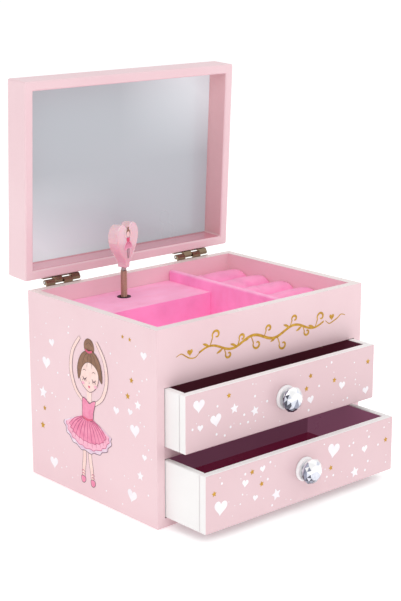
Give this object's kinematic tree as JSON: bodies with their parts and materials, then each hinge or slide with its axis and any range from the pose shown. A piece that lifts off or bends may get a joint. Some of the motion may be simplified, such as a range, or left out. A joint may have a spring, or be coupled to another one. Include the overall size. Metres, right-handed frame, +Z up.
{
  "type": "ballerina jewellery box",
  "caption": "Musical jewellery box with a mirrored lid, a tray with ring rolls, drawers with crystal knobs, and a heart on a spring stem that turns and folds under the lid",
  "frame": {"origin": "the middle of the case's underside", "axes": "+X to the right seen from the front, +Y to the back, +Z up; the lid stands open and both drawers are part drawn"},
  "size_m": [0.18, 0.2021, 0.2653],
  "materials": {
    "pink_paint": "pale pink satin paint on fibreboard",
    "white_paint": "white satin paint on fibreboard",
    "velvet": "pink flock velvet on board",
    "burgundy_lining": "dark burgundy paper lining",
    "mirror": "silvered glass",
    "hinge_metal": "bright plated steel",
    "stem_metal": "dark bronze wire",
    "brass": "bright",
    "steel": "bright steel",
    "zinc": "cast, matt",
    "crystal": "clear cut acrylic",
    "knob_white": "white",
    "black_plastic": "black",
    "peg_wood": "bare dowel",
    "heart_plastic": "glossy pink",
    "neck_plastic": "grey"
  },
  "bodies": {
    "case": {"side_panel_left": "pink_paint", "side_panel_right": "pink_paint", "back_panel": "pink_paint", "base_panel": "pink_paint", "header_panel": "pink_paint", "drawer_shelf": "pink_paint", "drawer_partition": "pink_paint", "tray_floor": "velvet", "upper_peg_left": "peg_wood", "upper_peg_right": "peg_wood", "lower_peg": "peg_wood", "tray_divider": "velvet", "housing_front": "velvet", "housing_top": "velvet", "stem_bush": "black_plastic", "hinge_left_case_leaf": "hinge_metal", "hinge_right_case_leaf": "hinge_metal", "hinge_left_pin": "steel", "hinge_right_pin": "steel", "movement_frame": "zinc", "comb": "steel", "ring_roll_1": "velvet", "ring_roll_2": "velvet", "ring_roll_3": "velvet", "ring_roll_4": "velvet", "ring_roll_5": "velvet"},
    "lid": {"lid_top": "pink_paint", "lid_wall_left": "pink_paint", "lid_wall_right": "pink_paint", "lid_wall_front": "pink_paint", "lid_wall_back": "pink_paint", "mirror": "mirror", "hinge_left_lid_leaf": "hinge_metal", "hinge_right_lid_leaf": "hinge_metal"},
    "upper_drawer": {"upper_drawer_front": "pink_paint", "upper_drawer_frame": "white_paint", "upper_drawer_bottom": "burgundy_lining", "upper_knob_seat": "knob_white", "upper_knob_crystal": "crystal", "upper_knob_screw": "steel"},
    "lower_drawer": {"lower_drawer_front": "pink_paint", "lower_drawer_frame": "white_paint", "lower_drawer_bottom": "burgundy_lining", "lower_knob_seat": "knob_white", "lower_knob_crystal": "crystal", "lower_knob_screw": "steel"},
    "stem": {"stem_spring": "stem_metal"},
    "figure": {"heart_topper": "heart_plastic", "heart_neck": "neck_plastic"},
    "cylinder": {"cylinder_arbor": "brass", "music_cylinder": "brass"},
    "spindle": {"spindle": "steel"},
    "barrel": {"spring_barrel": "brass", "mainspring": "steel"},
    "winding": {"winding_arbor": "steel", "winding_key": "steel"},
    "governor_wheel": {"governor_arbor": "brass"},
    "governor_fan": {"governor_worm": "steel", "air_brake": "black_plastic"},
    "stop_wire": {"stop_wire": "steel"}
  },
  "joints": [
    {"name": "lid_hinge", "type": "hinge", "parent": "case", "child": "lid", "pos_m": [0, 0.0691, 0.1295], "axis": [1, 0, 0], "range_deg": [0, 87.3]},
    {"name": "upper_drawer_slide", "type": "slide", "parent": "case", "child": "upper_drawer", "axis": [0, -1, 0], "range_m": [-0.0189, 0.0451]},
    {"name": "lower_drawer_slide", "type": "slide", "parent": "case", "child": "lower_drawer", "axis": [0, -1, 0], "range_m": [-0.0371, 0.0269]},
    {"name": "winding_key_turn", "type": "hinge", "parent": "case", "child": "winding", "pos_m": [0.0088, 0.07, 0.1035], "axis": [0, 1, 0], "continuous": true},
    {"name": "music_train_turn", "type": "hinge", "parent": "case", "child": "cylinder", "pos_m": [-0.01, 0.0444, 0.1035], "axis": [1, 0, 0], "continuous": true},
    {"name": "figure_fold", "type": "hinge", "parent": "case", "child": "stem", "pos_m": [-0.0262, 0.0429, 0.1296], "axis": [1, 0, 0], "range_deg": [0, 90], "deforming": ["stem_spring"]},
    {"name": "figure_spin", "type": "hinge", "parent": "stem", "child": "figure", "pos_m": [-0.0262, 0.0444, 0.136], "axis": [0, 0, 1], "continuous": true},
    {"name": "spindle_turn", "type": "hinge", "parent": "case", "child": "spindle", "pos_m": [-0.0262, 0.0444, 0.1035], "axis": [0, 0, 1], "continuous": true},
    {"name": "barrel_turn", "type": "hinge", "parent": "case", "child": "barrel", "pos_m": [0.0088, 0.05, 0.1035], "axis": [0, 1, 0], "continuous": true},
    {"name": "governor_wheel_turn", "type": "hinge", "parent": "case", "child": "governor_wheel", "pos_m": [-0.03, 0.05368, 0.1035], "axis": [1, 0, 0], "continuous": true},
    {"name": "governor_fan_turn", "type": "hinge", "parent": "case", "child": "governor_fan", "pos_m": [-0.038, 0.04788, 0.1035], "axis": [0, 0, 1], "continuous": true},
    {"name": "stop_wire_press", "type": "slide", "parent": "case", "child": "stop_wire", "axis": [0, 0, -1], "range_m": [0, 0.0047]}
  ],
  "couplings": [
    {"joint": "figure_fold", "follows": "lid_hinge", "ratio": 1.0309},
    {"joint": "stop_wire_press", "follows": "lid_hinge", "m_per_rad": 0.003084},
    {"joint": "spindle_turn", "follows": "music_train_turn", "ratio": -1},
    {"joint": "figure_spin", "follows": "music_train_turn", "ratio": -1},
    {"joint": "barrel_turn", "follows": "music_train_turn", "ratio": 0.33333},
    {"joint": "governor_wheel_turn", "follows": "music_train_turn", "ratio": -3},
    {"joint": "governor_fan_turn", "follows": "music_train_turn", "ratio": -36}
  ]
}
